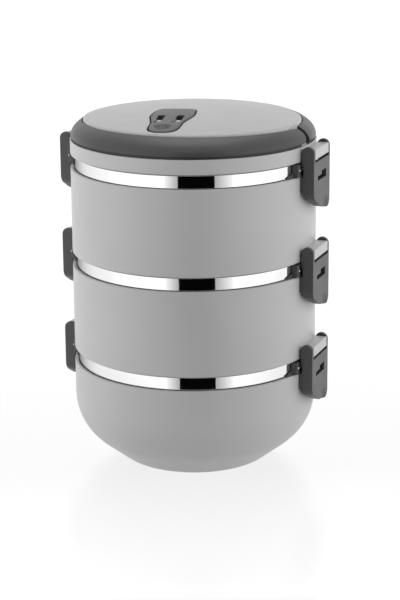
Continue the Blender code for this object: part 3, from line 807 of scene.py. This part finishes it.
def lid_liner():
    liner = nesting_pan(JOINTS["top"], LID_NEST)
    place = vent_place(0.0, VENT_PLUG_V)
    cut(liner, rod((place.x, place.y), STEAM_HOLE_R, JOINTS["top"] - 20 * MM, JOINTS["top"], "Z"))
    smooth(liner)
    finish(liner, "lid_liner", "liner_plastic", LINER)


def ring_outline(reach, low):
    """Section of the dark shoulder ring, with its inner top edge and its foot rounded."""
    edge = 0.7 * MM
    steps = 14
    start = math.asin(0.35 * MM / RING_RISE)
    outer = RING_CENTRE_R + RING_SPAN_R
    # the foot steps down behind the lid's lip, so only a dark line shows between ring and skirt
    foot = [(outer - 1.75 * MM, low), (outer - 1.70 * MM, low - 0.9 * MM),
            (outer - 1.0 * MM, low - 0.9 * MM), (outer - 0.9 * MM, low + 0.1 * MM),
            (outer - 0.4 * MM, low + 0.25 * MM)]

    def section(angle):
        top = math.acos((reach(angle) + edge - RING_CENTRE_R) / RING_SPAN_R)
        points = list(foot)
        for step in range(steps + 1):
            turn = start + (top - start) * step / steps
            points.append((RING_CENTRE_R + RING_SPAN_R * math.cos(turn),
                           RING_FOOT_Z + RING_RISE * math.sin(turn)))
        crown_r, crown_z = points[-1]
        for step in range(1, 4):
            turn = math.pi / 2 * step / 3
            points.append((crown_r - edge * math.sin(turn),
                           crown_z + 0.25 * MM - edge * (1 - math.cos(turn))))
        return points + [(reach(angle), low)]

    count = len(section(0.0))
    return [lambda angle, i=i: section(angle)[i] for i in range(count)]


def handle():
    """Front half of the shoulder ring: the bail that folds up about its two pins."""
    inner = (FRONT_ARC[0] + 0.6 * MM, FRONT_ARC[1])
    outline = ring_outline(lambda angle: circle_reach(inner, angle), REBATE_Z + 0.3 * MM)
    bail = lathe("bail", outline, -math.pi, math.pi, 110)
    front = -80 * MM
    side = arc(PIVOT_Y, PIVOT_Z, HANDLE_END_R, -90, 90, 20)
    side += [(PIVOT_Y, 210 * MM), (front, 210 * MM), (front, 180 * MM), (PIVOT_Y, 180 * MM)]
    keep_inside(bail, prism(side, -80 * MM, 80 * MM, "X"))
    bevel(bail, 0.45 * MM, 3, 50)
    # flat inner faces at the ends, which turn against the lid's flats
    cut(bail, box((-62.3 * MM, -15.5 * MM, 180 * MM), (62.3 * MM, 5 * MM, 210 * MM)))
    for side_sign in (1, -1):
        cut(bail, side_rod(side_sign, HANDLE_PIN_R + GAP, 58.0 * MM, HANDLE_BORE_END))
    smooth(bail)
    finish(bail, "handle", "dark_plastic", DARK)
    for name, side_sign in (("right", 1), ("left", -1)):
        pin = side_rod(side_sign, HANDLE_PIN_R, *HANDLE_PIN_ENDS, 0.3 * MM)
        smooth(pin)
        finish(pin, f"handle_pin_{name}", "steel_pin", PIN)


def rear_rim():
    """Rear half of the shoulder ring, fixed in the lid's rebate, with slanted ends."""
    inner = (REAR_ARC[0] + 0.4 * MM, REAR_ARC[1])
    outline = ring_outline(lambda angle: circle_reach(inner, angle), REBATE_Z + 0.3 * MM)
    lead = math.radians(6)
    rim = lathe("rim", outline, -lead, math.pi + 2 * lead, 120)
    foot_y = -0.7 * MM
    top_y = -2.3 * MM
    rear = 80 * MM
    side = [(foot_y, 180 * MM), (foot_y, 191.0 * MM), (top_y, 199.0 * MM), (top_y, 210 * MM),
            (rear, 210 * MM), (rear, 180 * MM)]
    keep_inside(rim, prism(side, -80 * MM, 80 * MM, "X"))
    bevel(rim, 0.45 * MM, 3, 50)
    smooth(rim)
    finish(rim, "rear_rim", "dark_plastic", DARK)


# ---- steam vent ----
VENT_ALONG = Vector((math.sin(VENT_TILT), -math.cos(VENT_TILT), 0.0))
VENT_ACROSS = Vector((math.cos(VENT_TILT), math.sin(VENT_TILT), 0.0))


def vent_place(u, v):
    """Point on the lid from the flap's own measures: u across it, v from its rear end to its front."""
    flat = Vector((VENT_HINGE.x, VENT_HINGE.y, 0.0))
    return flat + VENT_ALONG * (v - VENT_HINGE_V) + VENT_ACROSS * u


def vent_half_width(v):
    """Half width of the flap: a smooth curve through the outline's points."""
    keys = VENT_OUTLINE
    for i in range(len(keys) - 1):
        if v <= keys[i + 1][0] or i == len(keys) - 2:
            (x0, y0), (x1, y1) = keys[i], keys[i + 1]
            before = keys[max(i - 1, 0)]
            after = keys[min(i + 2, len(keys) - 1)]
            span = x1 - x0
            m0 = (y1 - before[1]) / (x1 - before[0]) * span
            m1 = (after[1] - y0) / (after[0] - x0) * span
            t = min(1.0, (v - x0) / span)
            return ((2 * t ** 3 - 3 * t ** 2 + 1) * y0 + (t ** 3 - 2 * t ** 2 + t) * m0
                    + (3 * t ** 2 - 2 * t ** 3) * y1 + (t ** 3 - t ** 2) * m1)
    return keys[-1][1]


def vent_plate(rows, columns, grow, low, high, shape=None):
    """Plate with the flap's outline, grown all round, between two heights over the dome."""
    length = VENT_OUTLINE[-1][0]
    bm = bmesh.new()
    top = []
    bottom = []
    for v in rows:
        half = vent_half_width(v) + grow
        shift = grow * (2 * v / length - 1)
        top.append([])
        bottom.append([])
        for u in columns(half):
            point = vent_place(u, v + shift)
            z = dome(point.xy.length)
            lift = shape(u, v, half, length) if shape else 0.0
            top[-1].append(bm.verts.new((point.x, point.y, z + high - lift)))
            bottom[-1].append(bm.verts.new((point.x, point.y, z + low)))
    last = len(top[0]) - 1
    for r in range(len(rows) - 1):
        for c in range(last):
            bm.faces.new((top[r][c], top[r][c + 1], top[r + 1][c + 1], top[r + 1][c]))
            bm.faces.new((bottom[r][c], bottom[r + 1][c], bottom[r + 1][c + 1], bottom[r][c + 1]))
        for c in (0, last):
            bm.faces.new((top[r][c], top[r + 1][c], bottom[r + 1][c], bottom[r][c]))
    for r in (0, len(rows) - 1):
        for c in range(last):
            bm.faces.new((top[r][c], top[r][c + 1], bottom[r][c + 1], bottom[r][c]))
    return add_object("plate", bm)


def even(start, end, count):
    return [start + (end - start) * step / count for step in range(count + 1)]


def vent_slab(grow, low, high):
    length = VENT_OUTLINE[-1][0]
    return vent_plate(even(0.0, length, 40), lambda half: (-half, half), grow, low, high)


def vent_turn(x, y, z):
    """Turns a tool to the flap's own direction and moves it to a place."""
    return Matrix.Translation((x, y, z)) @ Matrix.Rotation(VENT_TILT, 4, "Z")


def vent_rod(radius, half, edge=0.0):
    """Round bar across the flap, along its hinge."""
    bar = rod((0.0, 0.0), radius, -half, half, "X", edge)
    bar.data.transform(vent_turn(*VENT_HINGE))
    return bar


def vent_surface(u, v, half, length):
    """How far the flap's top lies under its crown: rounded edges and the oval scoop for the thumb."""
    edge = 0.8 * MM
    reach = max(0.0, min(half - abs(u), v, length - v))
    drop = 0.0
    if reach < edge:
        drop = edge - math.sqrt(edge * edge - (edge - reach) ** 2)
    across = (u - SCOOP_U) / SCOOP_HALF_WIDTH
    along = (v - SCOOP_V) / SCOOP_HALF_LENGTH
    far = across * across + along * along
    if far < 1.0:
        drop += SCOOP_DEPTH * (1 - far) ** 0.9 * (1 - 0.45 * along)
    return drop


def vent_parts():
    length = VENT_OUTLINE[-1][0]
    margin = [0.0, 0.06 * MM, 0.2 * MM, 0.45 * MM, 0.8 * MM]
    inset = 1.4 * MM

    def columns(half):
        inner = even(-half + inset, half - inset, 26)
        return [-half + m for m in margin] + inner + [half - m for m in reversed(margin)]

    rows = margin + even(inset, length - inset, 70) + [length - m for m in reversed(margin)]
    flap = vent_plate(rows, columns, 0.0, -2.4 * MM, 0.5 * MM, vent_surface)
    join(flap, vent_rod(1.7 * MM, 8.0 * MM, 0.3 * MM))
    cut(flap, vent_rod(0.95 * MM, 20 * MM))
    for u, half, start, end in VENT_WINDOWS:
        window = box((-half, start - end, 150 * MM), (half, 0.0, 250 * MM))
        place = vent_place(u, start)
        window.data.transform(vent_turn(place.x, place.y, 0.0))
        cut(flap, window)
    for u in VENT_DOTS_U:
        dot = vent_place(u, VENT_DOTS_V)
        top = dome(dot.xy.length)
        cut(flap, rod((dot.x, dot.y), 0.9 * MM, top - 0.7 * MM, top + 2 * MM, "Z", 0.0, 20))
    smooth(flap, 32)
    finish(flap, "vent_flap", "dark_plastic", DARK)

    pin = vent_rod(0.65 * MM, 9.8 * MM, 0.2 * MM)
    smooth(pin)
    finish(pin, "vent_hinge_pin", "steel_pin", PIN)
    place = vent_place(0.0, VENT_PLUG_V)
    low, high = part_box("vent_plug")
    plug = rod((place.x, place.y), 3.0 * MM, low.z, high.z, "Z", 0.6 * MM, 48)
    smooth(plug)
    finish(plug, "vent_plug", "silicone", SILICONE)


# ---- studio ----
CAMERA_AZIMUTH = math.radians(21.0)
TOWARDS_CAMERA = Vector((math.sin(CAMERA_AZIMUTH), -math.cos(CAMERA_AZIMUTH), 0.0))
ACROSS_VIEW = Vector((math.cos(CAMERA_AZIMUTH), math.sin(CAMERA_AZIMUTH), 0.0))
# ends of the dark card across the view, and of the cards that fade from it to white
STRIPE = (-43.6 * MM, 60.2 * MM)
STRIPE_FADE = (-85 * MM, 125 * MM)


def add_camera():
    """Camera 21 degrees round to the right, 15.6 degrees above and 1.105 m away."""
    back = Vector((0.34520, -0.89927, 0.26863))
    right = Vector((0.93430, 0.35642, -0.00743)).normalized()
    up = back.cross(right).normalized()
    data = bpy.data.cameras.new("camera")
    data.sensor_fit = "VERTICAL"
    data.sensor_height = 36.0
    data.lens = 114.01
    camera = bpy.data.objects.new("camera", data)
    bpy.context.scene.collection.objects.link(camera)
    turn = Matrix((right, up, back)).transposed().to_4x4()
    camera.matrix_world = Matrix.Translation((0.38449, -0.99286, 0.38903)) @ turn
    bpy.context.scene.camera = camera


def softbox(name, azimuth, elevation, distance, width, height, power, gloss_only=False):
    """Area light that looks at the object; azimuth is counted from the camera's, to the right.

    It gives diffuse light with no highlight, or, with gloss_only, a highlight and nothing else.
    """
    turn = CAMERA_AZIMUTH + math.radians(azimuth)
    rise = math.radians(elevation)
    out = Vector((math.sin(turn) * math.cos(rise), -math.cos(turn) * math.cos(rise), math.sin(rise)))
    data = bpy.data.lights.new(name, "AREA")
    data.shape = "RECTANGLE"
    data.size = width
    data.size_y = height
    data.energy = power
    light = bpy.data.objects.new(name, data)
    bpy.context.scene.collection.objects.link(light)
    light.location = Vector((0.0, 0.0, 0.1)) + out * distance
    light.rotation_euler = out.to_track_quat("Z", "Y").to_euler()
    light.visible_camera = False
    light.visible_glossy = gloss_only
    light.visible_diffuse = not gloss_only


def add_card(name, corners, glow, glossy=True):
    """Flat card out of the camera's sight, black or glowing grey, like a studio flag.

    The glow is a number or a function that gives a socket, see fade.
    """
    bm = bmesh.new()
    bm.faces.new([bm.verts.new(corner) for corner in corners])
    made = add_object(name, bm)
    look = Nodes(name)
    look.shader.inputs["Base Color"].default_value = (0.002, 0.002, 0.002, 1.0)
    look.shader.inputs["Roughness"].default_value = 1.0
    look.shader.inputs["Specular IOR Level"].default_value = 0.0
    look.shader.inputs["Emission Color"].default_value = (1.0, 1.0, 1.0, 1.0)
    look.put(look.shader, "Emission Strength", glow(look) if callable(glow) else glow)
    made.data.materials.append(look.material)
    made.visible_camera = False
    made.visible_glossy = glossy
    return made


def fade(direction, start, end, low, high):
    """Glow that changes from low to high between two places along a direction."""
    def glow(look):
        along = look.add("ShaderNodeVectorMath")
        along.operation = "DOT_PRODUCT"
        look.put(along, 0, look.place)
        look.put(along, 1, direction)
        return look.remap(along.outputs["Value"], low, high, start, end)
    return glow


def front_card(name, left, right, glow):
    """Upright card in front of the object, for the dark stripe of the polished steel or its soft edge."""
    base = TOWARDS_CAMERA * 0.20
    near, far = base + ACROSS_VIEW * left, base + ACROSS_VIEW * right
    low, high = Vector((0, 0, 0.005)), Vector((0, 0, 0.26))
    add_card(name, [near + low, far + low, far + high, near + high], glow)


def level_card(name, centre, half, height, glow):
    """Level card: overhead it keeps the lid from washing out, and on the floor it shades the belly."""
    middle = TOWARDS_CAMERA * centre + Vector((0, 0, height))
    sides = [(-half, -half), (half, -half), (half, half), (-half, half)]
    corners = [middle + ACROSS_VIEW * a + TOWARDS_CAMERA * b for a, b in sides]
    made = add_card(name, corners, glow, glossy=False)
    made.visible_shadow = False


def add_floor():
    """Pale glossy floor. Its own glow rises towards the camera, so that the mirror image fades out."""
    bm = bmesh.new()
    bmesh.ops.create_grid(bm, x_segments=1, y_segments=1, size=12.0)
    floor = add_object("floor", bm)
    white = Nodes("studio_floor")
    tone = white.remap(white.noise(3.0), 0.0, 1.0)
    white.put(white.shader, "Base Color", white.blend(tone, (0.03, 0.03, 0.03), (0.04, 0.04, 0.04)))
    white.shader.inputs["Roughness"].default_value = 0.24
    white.shader.inputs["Emission Color"].default_value = (1.0, 1.0, 1.0, 1.0)
    white.put(white.shader, "Emission Strength", fade(TOWARDS_CAMERA, 0.03, 0.24, 0.79, 0.96)(white))
    floor.data.materials.append(white.material)


def add_studio():
    world = bpy.data.worlds.new("studio")
    bpy.context.scene.world = world
    world.use_nodes = True
    background = world.node_tree.nodes["Background"]
    background.inputs["Color"].default_value = (1.0, 1.0, 1.0, 1.0)
    background.inputs["Strength"].default_value = 1.0
    bpy.context.scene.view_settings.view_transform = "Standard"
    softbox("light_left", -75, 20, 1.5, 1.0, 1.4, 4.1)
    softbox("light_right", 75, 20, 1.5, 1.0, 1.4, 5.2)
    softbox("light_back", 180, 22, 1.6, 1.6, 1.0, 4.0)
    softbox("light_top", 180, 84, 1.2, 0.9, 0.9, 4.5, gloss_only=True)
    left, right = STRIPE
    far_left, far_right = STRIPE_FADE
    gap = 0.2 * MM
    front_card("dark_card", left, right, 0.0)
    front_card("fade_card_left", far_left, left - gap, fade(ACROSS_VIEW, left, far_left, 0.45, 1.05))
    front_card("fade_card_right", right + gap, far_right, fade(ACROSS_VIEW, right, far_right, 0.45, 1.05))
    level_card("lid_card", 0.17, 0.38, 0.75, 0.05)
    level_card("floor_card", 0.0, 0.17, 0.4 * MM, 0.5)
    add_floor()


def main():
    outer_shell_bottom()
    steel_bowl_bottom()
    for tier, level in ((2, "low"), (3, "mid")):
        outer_shell_upper(tier, JOINTS[level])
        steel_bowl_upper(tier, JOINTS[level])
        base_cover(tier, JOINTS[level])
        seal_ring(f"seal_ring_{tier}", JOINTS[level])
    seal_ring("seal_ring_lid", JOINTS["top"])
    add_latches()
    lid_shell()
    lid_liner()
    handle()
    rear_rim()
    vent_parts()
    add_studio()
    add_camera()


main()
bpy.context.view_layer.update()
